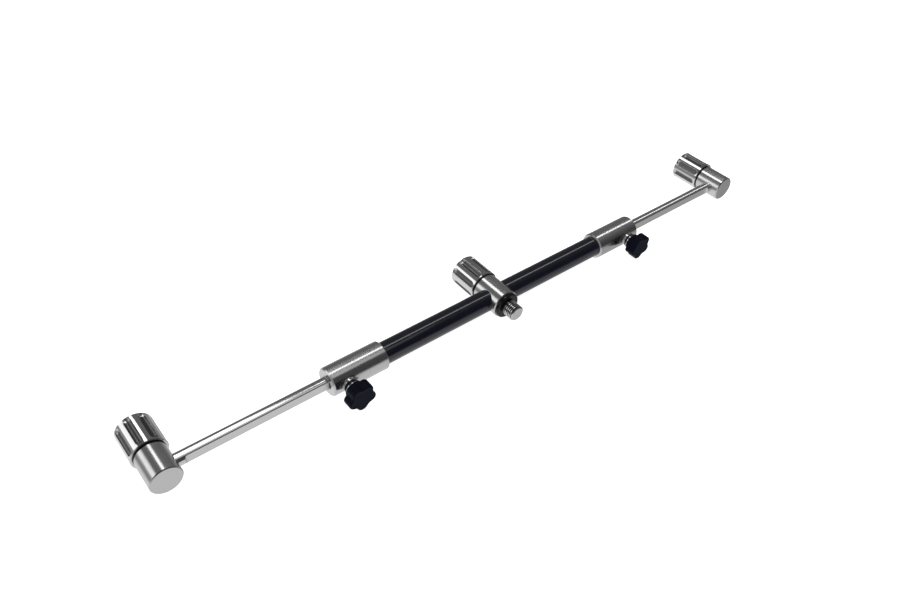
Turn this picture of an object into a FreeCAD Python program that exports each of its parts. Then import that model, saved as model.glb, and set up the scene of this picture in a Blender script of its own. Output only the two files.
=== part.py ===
"""Adjustable three-rest buzz bar for fishing rods, lying on its side.

Frame: +X runs along the bar, +Y points the way the three fluted collars face,
+Z is up. The bar's own axis is the line y = BAR_Y, z = BAR_Z, and the three
collars touch the ground plane z = 0. All sizes are in millimetres.
Every y_... value below is measured from the bar's axis, along +Y.
"""
import math
import os

import FreeCAD
import Part

# ---- where the bar's axis runs --------------------------------------------
COLLAR_R = 9.4
BAR_Y = -4.6
BAR_Z = COLLAR_R

# ---- standard thread of the rod rests and of the bank stick: 3/8 in BSF ----
THREAD_MAJOR_R = 9.525 / 2
THREAD_TAP_R = 4.1          # tapping-size hole of the same thread

# ---- fits -------------------------------------------------------------------
RUN = 0.05                  # clearance of a face or shaft that moves
SEAT = 0.02                 # clearance of a part that is fixed in its seat

# ---- centre tube and its two end sleeves -----------------------------------
TUBE_R = 6.35
TUBE_BORE_R = 5.0
TUBE_END_X = 97.0
SLEEVE_R = 8.1
SLEEVE_X0 = 80.5
SLEEVE_X1 = 114.5
SLEEVE_CHAMFER = 0.7
SLEEVE_BORE_R = 3.58

# ---- sliding inner bars -----------------------------------------------------
INNER_BAR_R = 3.5
FLAT_DEPTH = 1.1
FLAT_RUNOUT_R = 1.5
HEAD_X_LEFT = 203.7         # distance of each end head from the hub
HEAD_X_RIGHT = 205.3
BAR_ROOT = 2.2              # gap from the head's axis to the bar's outer end
FLAT_FROM_HEAD = 11.2
BUSH_R = TUBE_BORE_R - RUN
BUSH_LEN = 6.0
BUSH_FLOOR = 1.5
BUSH_FROM_HEAD = 108.4      # the bush's outer face, from the head's axis
FLAT_TO_BUSH = 2.0
STOP_SCREW_R = 1.5
STOP_SCREW_LEN = 7.0
STOP_HEAD_R = 2.75
STOP_HEAD_LEN = 1.6

# ---- rod-rest heads ---------------------------------------------------------
HEAD_R = 8.2
HUB_R = 8.6
Y_HEAD_FACE = -8.2
Y_HUB_FACE = -9.0
Y_BODY_TOP = 9.2
SPIGOT_R = 6.9
Y_SPIGOT_TOP = 9.95
BODY_EDGE = 0.5
DRAG_RING_PROUD = 0.1
Y_COLLAR = 10.0
Y_COLLAR_TOP = 29.4
Y_COLLAR_FLOOR = 13.5
Y_THREAD_START = 16.6
CHAMBER_R = 4.9
COLLAR_BUSH_R = 3.4
FLUTES = 8
FLUTE_R = 2.5
FLUTE_DEPTH = 1.15
Y_FLUTE_LOW = 10.9
Y_FLUTE_HIGH = 28.7
# angle of one flute on each collar, left, centre and right
FLUTE_ANGLE = {"left": 104.5, "centre": 109.5, "right": 100.6}

# ---- shoulder bolts that hold the collars on --------------------------------
SHOULDER_R = 2.5
BOLT_R = 2.0
BOLT_HEAD_R = 3.6
BOLT_HEAD_LEN = 2.4
HEX_AF = 3.0
HEX_DEPTH = 1.5
WASHER_R = 3.9
WASHER_LEN = 0.5
Y_HEAD_BOLT_END = 4.4
Y_HUB_BOLT_END = -15.0

# ---- stud for the bank stick -------------------------------------------------
Y_STUD_END = -19.1
STUD_CHAMFER = 0.7
STUD_RING_R = 7.9
STUD_RING_LEN = 2.0
STUD_RELIEF_R = 4.0
Y_STUD_THREAD = -11.2
STUD_SPIGOT_R = 3.2
Y_STUD_SPIGOT = -6.6

# ---- thumbscrews -------------------------------------------------------------
SCREW_X = 105.5
SCREW_R = 2.5
CLAMP_BUSH_R = 3.6
CLAMP_RIM_R = 4.3
Y_RIM_SEAT = -7.4
Y_RIM = -9.0
Y_BUSH_INNER = -3.75
PAD_R = 1.9
PAD_STEM_R = 0.8
Y_NOSE = -4.25
FLANGE_R = 4.7
Y_FLANGE = -10.4
Y_NECK = -11.2
NECK_R = 5.3
Y_KNOB = -13.2
Y_KNOB_FACE = -19.6
KNOB_R = 8.15
KNOB_LOBES = 5
KNOB_SCALLOP = 1.6
KNOB_SCALLOP_POWER = 1.3     # above 1, the scallops are narrower than the lobes
KNOB_ROUND = 0.6
Y_SCREW_END = -16.5
# angle of one lobe, and how far each screw is turned out of its bush
KNOB_ANGLE = {"left": 51.0, "right": 43.0}
TURNED_OUT = {"left": 0.6, "right": 0.0}

SIDES = {"left": (-1, HEAD_X_LEFT), "right": (1, HEAD_X_RIGHT)}


# ---- helpers -----------------------------------------------------------------
def vec(x, y, z):
    """A point given from the bar's axis."""
    return FreeCAD.Vector(x, BAR_Y + y, BAR_Z + z)


def along_y(radius, x, y0, y1):
    """A cylinder parallel to Y on the bar's plane, from y0 to y1."""
    low, high = min(y0, y1), max(y0, y1)
    return Part.makeCylinder(radius, high - low, vec(x, low, 0), FreeCAD.Vector(0, 1, 0))


def along_x(radius, x0, x1):
    """A cylinder on the bar's own axis, from x0 to x1."""
    low, high = min(x0, x1), max(x0, x1)
    return Part.makeCylinder(radius, high - low, vec(low, 0, 0), FreeCAD.Vector(1, 0, 0))


def ring_y(outer, inner, x, y0, y1):
    """A plain ring parallel to Y."""
    return along_y(outer, x, y0, y1).cut(along_y(inner, x, y0 - 1, y1 + 1))


def turned(profile, x):
    """A solid of revolution about the head's axis at x, from (radius, y) points."""
    points = [vec(x + r, y, 0) for r, y in profile]
    face = Part.Face(Part.makePolygon(points + points[:1]))
    return face.revolve(vec(x, 0, 0), FreeCAD.Vector(0, 1, 0), 360)


def o_ring(outer, inner, x, y0, y1):
    """A rubber ring with a rounded outer edge."""
    radius = 0.42 * (y1 - y0)
    ring = ring_y(outer, inner, x, y0, y1)
    edges = [e for e in ring.Edges if e.BoundBox.ZLength > 1.9 * outer]
    return ring.makeFillet(radius, edges)


def save(name, shape):
    """Write one node."""
    shape.exportStep("parts/%s.step" % name)


# ---- tube and sleeves ----------------------------------------------------------
def centre_tube():
    tube = along_x(TUBE_R, -TUBE_END_X, TUBE_END_X)
    tube = tube.cut(along_x(TUBE_BORE_R, -TUBE_END_X - 1, TUBE_END_X + 1))
    return tube.cut(along_y(BOLT_R + RUN, 0, -TUBE_R - 1, TUBE_R + 1))


def sleeve(sign):
    profile = [
        (SLEEVE_X0, TUBE_R + SEAT),
        (SLEEVE_X0, SLEEVE_R - SLEEVE_CHAMFER),
        (SLEEVE_X0 + SLEEVE_CHAMFER, SLEEVE_R),
        (SLEEVE_X1 - SLEEVE_CHAMFER, SLEEVE_R),
        (SLEEVE_X1, SLEEVE_R - SLEEVE_CHAMFER),
        (SLEEVE_X1, SLEEVE_BORE_R + 0.4),
        (SLEEVE_X1 - 0.4, SLEEVE_BORE_R),
        (TUBE_END_X, SLEEVE_BORE_R),
        (TUBE_END_X, TUBE_R + SEAT),
    ]
    points = [vec(sign * x, 0, r) for x, r in profile]
    face = Part.Face(Part.makePolygon(points + points[:1]))
    body = face.revolve(vec(0, 0, 0), FreeCAD.Vector(1, 0, 0), 360)
    body = body.cut(along_y(CLAMP_BUSH_R + SEAT, sign * SCREW_X, -SLEEVE_R - 1, 0))
    return body.cut(along_y(CLAMP_RIM_R + SEAT, sign * SCREW_X, -SLEEVE_R - 1, Y_RIM_SEAT))


def clamp_bush(sign):
    """Threaded bush in the sleeve's wall, with the rim that the thumbscrew seats on."""
    profile = [
        (SCREW_R + RUN, Y_BUSH_INNER),
        (CLAMP_BUSH_R, Y_BUSH_INNER),
        (CLAMP_BUSH_R, Y_RIM_SEAT),
        (CLAMP_RIM_R, Y_RIM_SEAT),
        (CLAMP_RIM_R, Y_RIM + 0.25),
        (CLAMP_RIM_R - 0.25, Y_RIM),
        (SCREW_R + RUN, Y_RIM),
    ]
    bush = turned(profile, sign * SCREW_X)
    return bush.cut(along_x(SLEEVE_BORE_R, 0, sign * (SLEEVE_X1 + 1)))


# ---- inner bars -----------------------------------------------------------------
def inner_bar(sign, head_x):
    outer = head_x - BAR_ROOT
    inner = head_x - BUSH_FROM_HEAD - BUSH_LEN + BUSH_FLOOR
    bar = along_x(INNER_BAR_R, sign * inner, sign * outer)
    flat0 = head_x - BUSH_FROM_HEAD + FLAT_TO_BUSH + FLAT_RUNOUT_R
    flat1 = head_x - FLAT_FROM_HEAD - FLAT_RUNOUT_R
    bottom = -INNER_BAR_R + FLAT_DEPTH
    length = flat1 - flat0
    corner = vec(min(sign * flat0, sign * flat1), bottom - 2 * FLAT_RUNOUT_R, -INNER_BAR_R - 1)
    cutter = Part.makeBox(length, 2 * FLAT_RUNOUT_R, 2 * INNER_BAR_R + 2, corner)
    for x in (flat0, flat1):
        start = vec(sign * x, bottom - FLAT_RUNOUT_R, -INNER_BAR_R - 1)
        up = FreeCAD.Vector(0, 0, 1)
        cutter = cutter.fuse(Part.makeCylinder(FLAT_RUNOUT_R, 2 * INNER_BAR_R + 2, start, up))
    bar = bar.cut(cutter)
    return bar.cut(along_x(STOP_SCREW_R + SEAT, sign * inner, sign * (inner + STOP_SCREW_LEN)))


def glide_bush(sign, head_x):
    """Cup that rides in the tube's bore and stops the bar at the sleeve's shoulder."""
    face_out = head_x - BUSH_FROM_HEAD
    face_in = face_out - BUSH_LEN
    cup = along_x(BUSH_R, sign * face_in, sign * face_out)
    cup = cup.cut(along_x(INNER_BAR_R + SEAT, sign * (face_in + BUSH_FLOOR), sign * (face_out + 1)))
    return cup.cut(along_x(STOP_SCREW_R + RUN, sign * (face_in - 1), sign * face_out))


def hex_prism(across_flats, start, direction, length):
    """A hexagonal bar that begins at start."""
    side = across_flats / math.sqrt(3)
    axis = FreeCAD.Vector(direction)
    rotation = FreeCAD.Rotation(FreeCAD.Vector(0, 0, 1), axis)
    corners = []
    for i in range(7):
        a = math.radians(60 * i)
        flat = FreeCAD.Vector(side * math.cos(a), side * math.sin(a), 0)
        corners.append(start + rotation.multVec(flat))
    return Part.Face(Part.makePolygon(corners)).extrude(axis * length)


def stop_screw(sign, head_x):
    seat = head_x - BUSH_FROM_HEAD - BUSH_LEN
    screw = along_x(STOP_SCREW_R, sign * seat, sign * (seat + BUSH_FLOOR + STOP_SCREW_LEN - 0.5))
    screw = screw.fuse(along_x(STOP_HEAD_R, sign * (seat - STOP_HEAD_LEN), sign * seat))
    start = vec(sign * (seat - STOP_HEAD_LEN), 0, 0)
    return screw.cut(hex_prism(2.0, start, (sign, 0, 0), 1.0))


# ---- heads ------------------------------------------------------------------------
def head_profile(radius, y_face):
    return [
        (0, y_face),
        (radius - BODY_EDGE, y_face),
        (radius, y_face + BODY_EDGE),
        (radius, Y_BODY_TOP),
        (SPIGOT_R, Y_BODY_TOP),
        (SPIGOT_R, Y_SPIGOT_TOP),
        (0, Y_SPIGOT_TOP),
    ]


def head_body(sign, head_x):
    x = sign * head_x
    body = turned(head_profile(HEAD_R, Y_HEAD_FACE), x)
    body = body.cut(along_x(INNER_BAR_R + SEAT, x - sign * BAR_ROOT, x - sign * (HEAD_R + 1)))
    return body.cut(along_y(BOLT_R + SEAT, x, Y_HEAD_BOLT_END, Y_SPIGOT_TOP + 1))


def hub_body():
    body = turned(head_profile(HUB_R, Y_HUB_FACE), 0)
    body = body.cut(along_x(TUBE_R + SEAT, -HUB_R - 1, HUB_R + 1))
    body = body.cut(along_y(BOLT_R + RUN, 0, 0, Y_SPIGOT_TOP + 1))
    return body.cut(along_y(STUD_SPIGOT_R + SEAT, 0, Y_HUB_FACE - 1, 0))


def collar_o_ring(x, body_r):
    """Ring squeezed between a head and its collar: it gives the collar its drag."""
    return o_ring(body_r + DRAG_RING_PROUD, SPIGOT_R + SEAT, x, Y_BODY_TOP, Y_SPIGOT_TOP)


def collar(x, angle):
    """Fluted collar with a threaded socket; it turns on the shoulder bolt."""
    profile = [
        (COLLAR_BUSH_R + SEAT, Y_COLLAR),
        (COLLAR_R - 0.4, Y_COLLAR),
        (COLLAR_R, Y_COLLAR + 0.4),
        (COLLAR_R, Y_COLLAR_TOP - 0.5),
        (COLLAR_R - 0.5, Y_COLLAR_TOP),
        (THREAD_TAP_R + 0.6, Y_COLLAR_TOP),
        (THREAD_TAP_R, Y_COLLAR_TOP - 0.6),
        (THREAD_TAP_R, Y_THREAD_START),
        (CHAMBER_R, Y_THREAD_START),
        (CHAMBER_R, Y_COLLAR_FLOOR),
        (COLLAR_BUSH_R + SEAT, Y_COLLAR_FLOOR),
    ]
    body = turned(profile, x)
    reach = COLLAR_R + FLUTE_R - FLUTE_DEPTH
    end_reach = math.sqrt(FLUTE_R ** 2 - (FLUTE_R - FLUTE_DEPTH) ** 2)
    y_low = Y_FLUTE_LOW + end_reach
    length = Y_FLUTE_HIGH - end_reach - y_low
    for i in range(FLUTES):
        a = math.radians(angle + 360 * i / FLUTES)
        low = vec(x + reach * math.cos(a), y_low, reach * math.sin(a))
        high = low + FreeCAD.Vector(0, length, 0)
        mill = Part.makeCylinder(FLUTE_R, length, low, FreeCAD.Vector(0, 1, 0))
        for end in (low, high):
            mill = mill.fuse(Part.makeSphere(FLUTE_R, end))
        body = body.cut(mill)
    return body


def collar_bush(x):
    """Plain bearing pressed into the collar's floor."""
    return ring_y(COLLAR_BUSH_R, SHOULDER_R + RUN, x, Y_COLLAR, Y_COLLAR_FLOOR)


def shoulder_bolt(x, y_end):
    """Socket-head shoulder bolt that the collar turns on."""
    y_head = Y_COLLAR_FLOOR + RUN + WASHER_LEN
    bolt = along_y(SHOULDER_R, x, Y_SPIGOT_TOP, y_head)
    bolt = bolt.fuse(along_y(BOLT_R, x, y_end, Y_SPIGOT_TOP))
    bolt = bolt.fuse(along_y(BOLT_HEAD_R, x, y_head, y_head + BOLT_HEAD_LEN))
    top = vec(x, y_head + BOLT_HEAD_LEN, 0)
    return bolt.cut(hex_prism(HEX_AF, top, (0, -1, 0), HEX_DEPTH))


def thrust_washer(x):
    y0 = Y_COLLAR_FLOOR + RUN
    return ring_y(WASHER_R, SHOULDER_R + SEAT, x, y0, y0 + WASHER_LEN)


def hub_stud():
    profile = [
        (0, Y_STUD_END),
        (THREAD_MAJOR_R - STUD_CHAMFER, Y_STUD_END),
        (THREAD_MAJOR_R, Y_STUD_END + STUD_CHAMFER),
        (THREAD_MAJOR_R, Y_STUD_THREAD),
        (STUD_RELIEF_R, Y_STUD_THREAD),
        (STUD_RELIEF_R, Y_HUB_FACE),
        (STUD_SPIGOT_R, Y_HUB_FACE),
        (STUD_SPIGOT_R, Y_STUD_SPIGOT),
        (0, Y_STUD_SPIGOT),
    ]
    stud = turned(profile, 0)
    return stud.cut(along_y(BOLT_R + SEAT, 0, Y_HUB_BOLT_END - 0.5, 0))


def stud_ring():
    y_outer = Y_HUB_FACE - STUD_RING_LEN
    return o_ring(STUD_RING_R, STUD_RELIEF_R + SEAT, 0, y_outer, Y_HUB_FACE)


# ---- thumbscrews --------------------------------------------------------------------
def pressure_pad(sign, out):
    """Swivel pad that bears on the bar's flat and doesn't turn with the screw."""
    x = sign * SCREW_X
    y_flat = -INNER_BAR_R + FLAT_DEPTH - RUN - out
    pad = along_y(PAD_R, x, y_flat, Y_NOSE + RUN - out)
    return pad.fuse(along_y(PAD_STEM_R, x, y_flat - 1.0, Y_NOSE - 1.4 - out))


def thumb_screw(sign, out):
    """Steel screw with the flange that shows between the bush and the knob."""
    x = sign * SCREW_X
    screw = along_y(SCREW_R, x, Y_NOSE - out, Y_SCREW_END - out)
    screw = screw.fuse(along_y(FLANGE_R, x, Y_FLANGE - out, Y_NECK - out))
    return screw.cut(along_y(PAD_STEM_R + RUN, x, Y_NOSE - 1.6 - out, Y_NOSE + 1 - out))


def screw_o_ring(sign, out):
    return o_ring(4.5, SCREW_R + SEAT, sign * SCREW_X, Y_FLANGE - out, Y_RIM - RUN - out)


def star_face(x, y, angle):
    """The knob's outline: lobes that run into scallops without a corner."""
    steps = 12 * KNOB_LOBES
    points = []
    for i in range(steps):
        t = 2 * math.pi * i / steps
        wave = (1 - math.cos(KNOB_LOBES * (t - math.radians(angle)))) / 2
        r = KNOB_R - KNOB_SCALLOP * wave ** KNOB_SCALLOP_POWER
        points.append(vec(x + r * math.cos(t), y, r * math.sin(t)))
    curve = Part.BSplineCurve()
    curve.interpolate(points, PeriodicFlag=True)
    return Part.Face(Part.Wire(curve.toShape()))


def knob(sign, angle, out):
    x = sign * SCREW_X
    length = Y_KNOB - Y_KNOB_FACE
    grip = star_face(x, Y_KNOB - out, angle).extrude(FreeCAD.Vector(0, -length, 0))
    rims = [e for e in grip.Edges if e.BoundBox.YLength < 0.01]
    grip = grip.makeFillet(KNOB_ROUND, rims)
    body = grip.fuse(along_y(NECK_R, x, Y_NECK - out, Y_KNOB - 0.5 - out))
    return body.cut(along_y(SCREW_R + SEAT, x, Y_SCREW_END - 0.2 - out, Y_NECK + 1 - out))


# ---- build every node -----------------------------------------------------------------
def build_centre():
    save("centre_tube", centre_tube())
    save("hub_body", hub_body())
    save("hub_stud", hub_stud())
    save("stud_ring", stud_ring())
    save("collar_centre_o_ring", collar_o_ring(0, HUB_R))
    save("hub_bolt", shoulder_bolt(0, Y_HUB_BOLT_END))
    save("hub_washer", thrust_washer(0))
    save("collar_centre", collar(0, FLUTE_ANGLE["centre"]))
    save("collar_centre_bush", collar_bush(0))


def build_side(side, sign, head_x):
    out = TURNED_OUT[side]
    x = sign * head_x
    save("sleeve_" + side, sleeve(sign))
    save("clamp_bush_" + side, clamp_bush(sign))
    save("inner_bar_" + side, inner_bar(sign, head_x))
    save("glide_bush_" + side, glide_bush(sign, head_x))
    save("stop_screw_" + side, stop_screw(sign, head_x))
    save("head_body_" + side, head_body(sign, head_x))
    save("head_bolt_" + side, shoulder_bolt(x, Y_HEAD_BOLT_END))
    save("head_washer_" + side, thrust_washer(x))
    save("collar_%s_o_ring" % side, collar_o_ring(x, HEAD_R))
    save("collar_" + side, collar(x, FLUTE_ANGLE[side]))
    save("collar_%s_bush" % side, collar_bush(x))
    save("pressure_pad_" + side, pressure_pad(sign, out))
    save("thumb_screw_" + side, thumb_screw(sign, out))
    save("thumb_screw_o_ring_" + side, screw_o_ring(sign, out))
    save("knob_" + side, knob(sign, KNOB_ANGLE[side], out))


os.makedirs("parts", exist_ok=True)
build_centre()
for side_name, (side_sign, side_x) in SIDES.items():
    build_side(side_name, side_sign, side_x)
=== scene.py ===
"""Looks of a three-rest buzz bar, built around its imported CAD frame.

Every size below is in millimetres, and a mesh turns into metres when it is made.
A turned piece is drawn in its own frame (a, b, h): h runs along its axis and a, b
across it. Its place, radius and length come from the box of the CAD node it stands for.
"""
import math

import bpy
import numpy as np
from mathutils import Matrix, Vector


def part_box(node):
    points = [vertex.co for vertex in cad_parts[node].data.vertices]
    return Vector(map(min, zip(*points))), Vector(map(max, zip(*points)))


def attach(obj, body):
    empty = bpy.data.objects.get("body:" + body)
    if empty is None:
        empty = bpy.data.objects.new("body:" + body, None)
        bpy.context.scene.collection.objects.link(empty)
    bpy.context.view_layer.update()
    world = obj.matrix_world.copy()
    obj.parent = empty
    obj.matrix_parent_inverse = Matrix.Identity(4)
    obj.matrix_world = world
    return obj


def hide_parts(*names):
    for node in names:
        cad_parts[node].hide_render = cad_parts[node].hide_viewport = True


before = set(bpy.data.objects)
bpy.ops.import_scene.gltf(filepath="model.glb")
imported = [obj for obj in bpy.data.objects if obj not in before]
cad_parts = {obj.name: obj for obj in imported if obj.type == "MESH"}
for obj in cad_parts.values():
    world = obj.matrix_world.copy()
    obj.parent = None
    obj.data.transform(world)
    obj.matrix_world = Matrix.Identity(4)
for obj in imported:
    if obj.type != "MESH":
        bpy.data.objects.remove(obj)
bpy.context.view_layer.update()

MM = 0.001
TAU = 2 * math.pi
SIDES = {"left": -1, "right": 1}
RESTS = ("left", "centre", "right")

# ---- collars ------------------------------------------------------------------
FLUTES = 8
FLUTE_R = 2.5
FLUTE_DEPTH = 1.15
FLUTE_BELOW = 0.9            # from the collar's lower face to the flute's end
FLUTE_ABOVE = 0.7            # from the flute's end to the collar's open face
FLUTE_MARK = 200.0           # added to the path coordinate inside the flutes, where they get painted shade and a rougher finish
COLLAR_PATH = 8.0            # path coordinate at the foot of a collar's wall
FLUTE_ANGLE = {"left": 104.5, "centre": 109.5, "right": 100.6}
COLLAR_LOWER_EDGE = 0.4
COLLAR_UPPER_EDGE = 0.5
COLLAR_FLOOR = 3.5
THREAD_START = 6.6
CHAMBER_R = 4.9
BUSH_HOLE_R = 3.42

# ---- threads --------------------------------------------------------------------
BSF_PITCH = 1.27
BSF_DEPTH = 0.81
BSF_CORE_R = 4.1
STUD_RELIEF = (4.0, 2.2)     # radius and length of the plain part next to the hub
STUD_CHAMFER = 0.7
STUD_FADE = 0.5              # length over which the stud's thread begins
SOCKET_CHAMFER = 0.6
SOCKET_FADE = 0.8            # length over which a socket's thread begins and ends
M5_PITCH = 0.8
M5_DEPTH = 0.49
THREAD_FLANK = 0.97          # at 1 the flanks are straight up to sharp crests
THREAD_CREST = 0.25          # share of the thread's pitch left flat on its crest
THREAD_MARK = 200 * BSF_PITCH  # added to the path coordinate of the threads, where their roots get painted shade
ROOT_SHADE_TONE = 0.05             # painted shade in a thread's roots: their colour as a share of its crests'
STREAK_TONE = 0.93           # colour of the turned grooves, as a share of the steel's
FLUTE_SHADE_AND_GLOSS_FADE = 0.8            # length over which the flutes' finish and painted shade begin and end
UNSHADED_FLUTE_ENDS = (1.0, 2.0)     # length at a flute's lower and open end that is left out of the painted shade

# ---- bodies of the rests ----------------------------------------------------------
BODY_EDGE = 0.5
BODY_MARGIN = 0.3            # from the edges to the ends of the panelled wall
BODY_PATH = 9.0              # path coordinate at the foot of a body's wall
SPIGOT_R = 6.9
SPIGOT_LEN = 0.75
BAR_HOLE_R = 3.52
BAR_ROOT = 2.2
TUBE_HOLE_R = 6.37

# ---- sleeves, bars and clamp ------------------------------------------------------
SLEEVE_EDGE = 0.7
SLEEVE_MOUTH = 0.4
SLEEVE_MARGIN = (0.2, 0.3)   # from its shoulder and its edge to the panelled wall
SLEEVE_BORE_R = 3.58
SLEEVE_SOCKET = 16.5         # how far the tube goes into the sleeve
TUBE_BORE_R = 5.0
SCREW_FROM_END = 9.0         # from the sleeve's outer face to the thumbscrew
BUSH_BARREL_R = 3.62
BUSH_FLOOR = 4.0
PAD_HOLE_R = 2.3
FLAT_MARK = 2.0              # turn coordinate of the bar's flat
FLAT_TURN = 0.1              # and how much of it a millimetre across the flat takes
FLAT_DEPTH = 1.1
FLAT_RUNOUT_R = 1.5
FLAT_FROM_HEAD = 9.05        # from the bar's outer end to the flat's run-out
FLAT_FROM_BUSH = 6.55        # from the bar's inner end to the flat's run-out
BAR_END_ROW = 0.3            # from the bar's ends to its next row of points
CLAMP_RIM_LEN = 1.6
CLAMP_BARREL_R = 3.6
CLAMP_BORE_R = 2.55
SCREW_R = 2.5
FLANGE_LEN = 0.8
FLANGE_TO_NOSE = 6.15
NOSE_BORE = (0.85, 1.6)      # radius and depth of the hole for the pad's stem
NOSE_CHAMFER = 0.6
SCREW_FADE = 0.6             # length over which the thumbscrew's thread begins and ends

# ---- knobs --------------------------------------------------------------------------
KNOB_LOBES = 5
KNOB_SCALLOP = 1.6
KNOB_SCALLOP_POWER = 1.3
KNOB_ROUND = 0.75
KNOB_DISH = 0.12             # how far the face is sunk inside its rim
KNOB_RIM = (1.2, 0.2)        # inner and outer edge of the rim, in from the rounding
KNOB_RIM_ROUND = (0.6, 0.4)  # roundings of those two edges
KNOB_BACK = 0.4              # from the rounding to the disc that closes the back
KNOB_NECK_R = 5.3
KNOB_NECK_LEN = 2.0
KNOB_NECK_EDGE = 0.3
KNOB_ANGLE = {"left": 51.0, "right": 43.0}

# ---- rubber rings ---------------------------------------------------------------------
RING_GAP = 0.02              # round the shaft that a ring sits on
RING_ROUND = 0.6
STUD_RING_ROUND = (0.85, 0.3)

# ---- small roundings on machined and moulded edges ------------------------------------
BREAK = 0.08
CRISP = 0.1
SOFT = 0.18
EASED = 0.2

NUDGE = 1e-3                 # step for a slope taken by differences


# ================================ mesh building ========================================
def box_mm(node):
    """A CAD node's lowest and highest corners, in millimetres."""
    low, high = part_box(node)
    return np.array(low) / MM, np.array(high) / MM


AXES = {
    "X": ((0, 1, 0), (0, 0, 1), (1, 0, 0)),
    "-X": ((0, 1, 0), (0, 0, 1), (-1, 0, 0)),
    "Y": ((1, 0, 0), (0, 0, 1), (0, 1, 0)),
}


class Shell:
    """Grids of points with exact normals, which are welded into one mesh."""

    def __init__(self, axis, centre):
        self.basis = np.array(AXES[axis], float)
        self.centre = np.array(centre, float)
        self.points, self.normals, self.uvs, self.quads = [], [], [], []
        self.count = 0

    def grid(self, points, normals, uv):
        """Rows and columns of (a, b, h) points, with their normals and (turn, path) coordinates."""
        rows, columns = points.shape[:2]
        index = self.count + np.arange(rows * columns).reshape(rows, columns)
        corners = [index[:-1, :-1], index[:-1, 1:], index[1:, 1:], index[1:, :-1]]
        self.quads.append(np.stack(corners, -1).reshape(-1, 4))
        self.points.append(points.reshape(-1, 3))
        self.normals.append(normals.reshape(-1, 3))
        self.uvs.append(uv.reshape(-1, 2))
        self.count += rows * columns

    def make(self, name, material):
        """Welds the grids and makes the object, in metres."""
        points = np.concatenate(self.points) @ self.basis + self.centre
        normals = np.concatenate(self.normals) @ self.basis
        normals /= np.maximum(np.linalg.norm(normals, axis=1, keepdims=True), 1e-9)
        uvs = np.concatenate(self.uvs)
        quads = np.concatenate(self.quads)
        corner = points[quads]
        facing = np.cross(corner[:, 2] - corner[:, 0], corner[:, 3] - corner[:, 1])
        wrong = (facing * normals[quads].sum(1)).sum(1) < 0
        quads[wrong] = quads[wrong][:, ::-1]
        weld = np.round(points * 5000).astype(np.int64)
        _, first, welded = np.unique(weld, axis=0, return_index=True, return_inverse=True)
        welded = welded.reshape(-1)[quads]
        keep = welded != np.roll(welded, -1, axis=1)
        keep[keep.sum(1) < 3] = False
        sizes = keep.sum(1)
        sizes = sizes[sizes > 0]
        mesh = bpy.data.meshes.new(name)
        mesh.vertices.add(len(first))
        mesh.vertices.foreach_set("co", (points[first] * MM).astype(np.float32).ravel())
        mesh.loops.add(int(keep.sum()))
        mesh.loops.foreach_set("vertex_index", welded[keep].astype(np.int32))
        mesh.polygons.add(len(sizes))
        starts = np.concatenate([[0], np.cumsum(sizes)[:-1]]).astype(np.int32)
        mesh.polygons.foreach_set("loop_start", starts)
        mesh.polygons.foreach_set("use_smooth", np.ones(len(sizes), bool))
        mesh.update(calc_edges=True)
        layer = mesh.uv_layers.new(name="turned")
        layer.data.foreach_set("uv", uvs[quads[keep]].astype(np.float32).ravel())
        mesh.normals_split_custom_set(normals[quads[keep]].astype(np.float32))
        mesh.materials.append(material)
        piece = bpy.data.objects.new(name, mesh)
        bpy.context.scene.collection.objects.link(piece)
        return piece


def outline(corners, closed=False):
    """A path through (radius, height, rounding) corners, counter-clockwise.

    Gives its points, outward normals and length so far. A corner gives two points with
    the normals of both sides, or an arc, so each side stays flat up to its edge.
    """
    count = len(corners)
    spots = [np.array(c[:2], float) for c in corners]
    sides = []
    for i in range(count):
        step = spots[(i + 1) % count] - spots[i]
        sides.append(step / max(np.linalg.norm(step), 1e-9))
    points, normals = [], []
    for i, (spot, corner) in enumerate(zip(spots, corners)):
        before, after = sides[i - 1], sides[i]
        if not closed and i == 0:
            before = after
        if not closed and i == count - 1:
            after = before
        cross = before[0] * after[1] - before[1] * after[0]
        turned = math.atan2(cross, before @ after)
        start = math.atan2(-before[0], before[1])
        steps = max(1, round(abs(turned) / math.radians(15))) if corner[2] else 1
        out = 1 if turned > 0 else -1
        back = corner[2] * math.tan(abs(turned) / 2)
        first = np.array([math.cos(start), math.sin(start)])
        middle = spot - before * back - out * corner[2] * first
        for k in range(steps + 1):
            angle = start + turned * k / steps
            normal = np.array([math.cos(angle), math.sin(angle)])
            points.append(middle + out * corner[2] * normal)
            normals.append(normal)
    if closed:
        points.append(points[0])
        normals.append(normals[0])
    points, normals = np.array(points), np.array(normals)
    length = np.concatenate([[0], np.cumsum(np.linalg.norm(np.diff(points, axis=0), axis=1))])
    return points, normals, length


def around(columns=96):
    """Angles of the columns of a plain turned piece."""
    return np.linspace(0, TAU, columns + 1)


def turn(shell, corners, angles, closed=False):
    """Turns an outline about the shell's axis."""
    points, normals, length = outline(corners, closed)
    cos, sin = np.cos(angles)[None, :], np.sin(angles)[None, :]

    def swept(values):
        radial, along = values[:, :1], values[:, 1:]
        return np.stack([radial * cos, radial * sin, along * np.ones_like(cos)], -1)

    uv = np.stack(np.broadcast_arrays(angles[None, :] / TAU, length[:, None]), -1)
    shell.grid(swept(points), swept(normals), uv)


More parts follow.
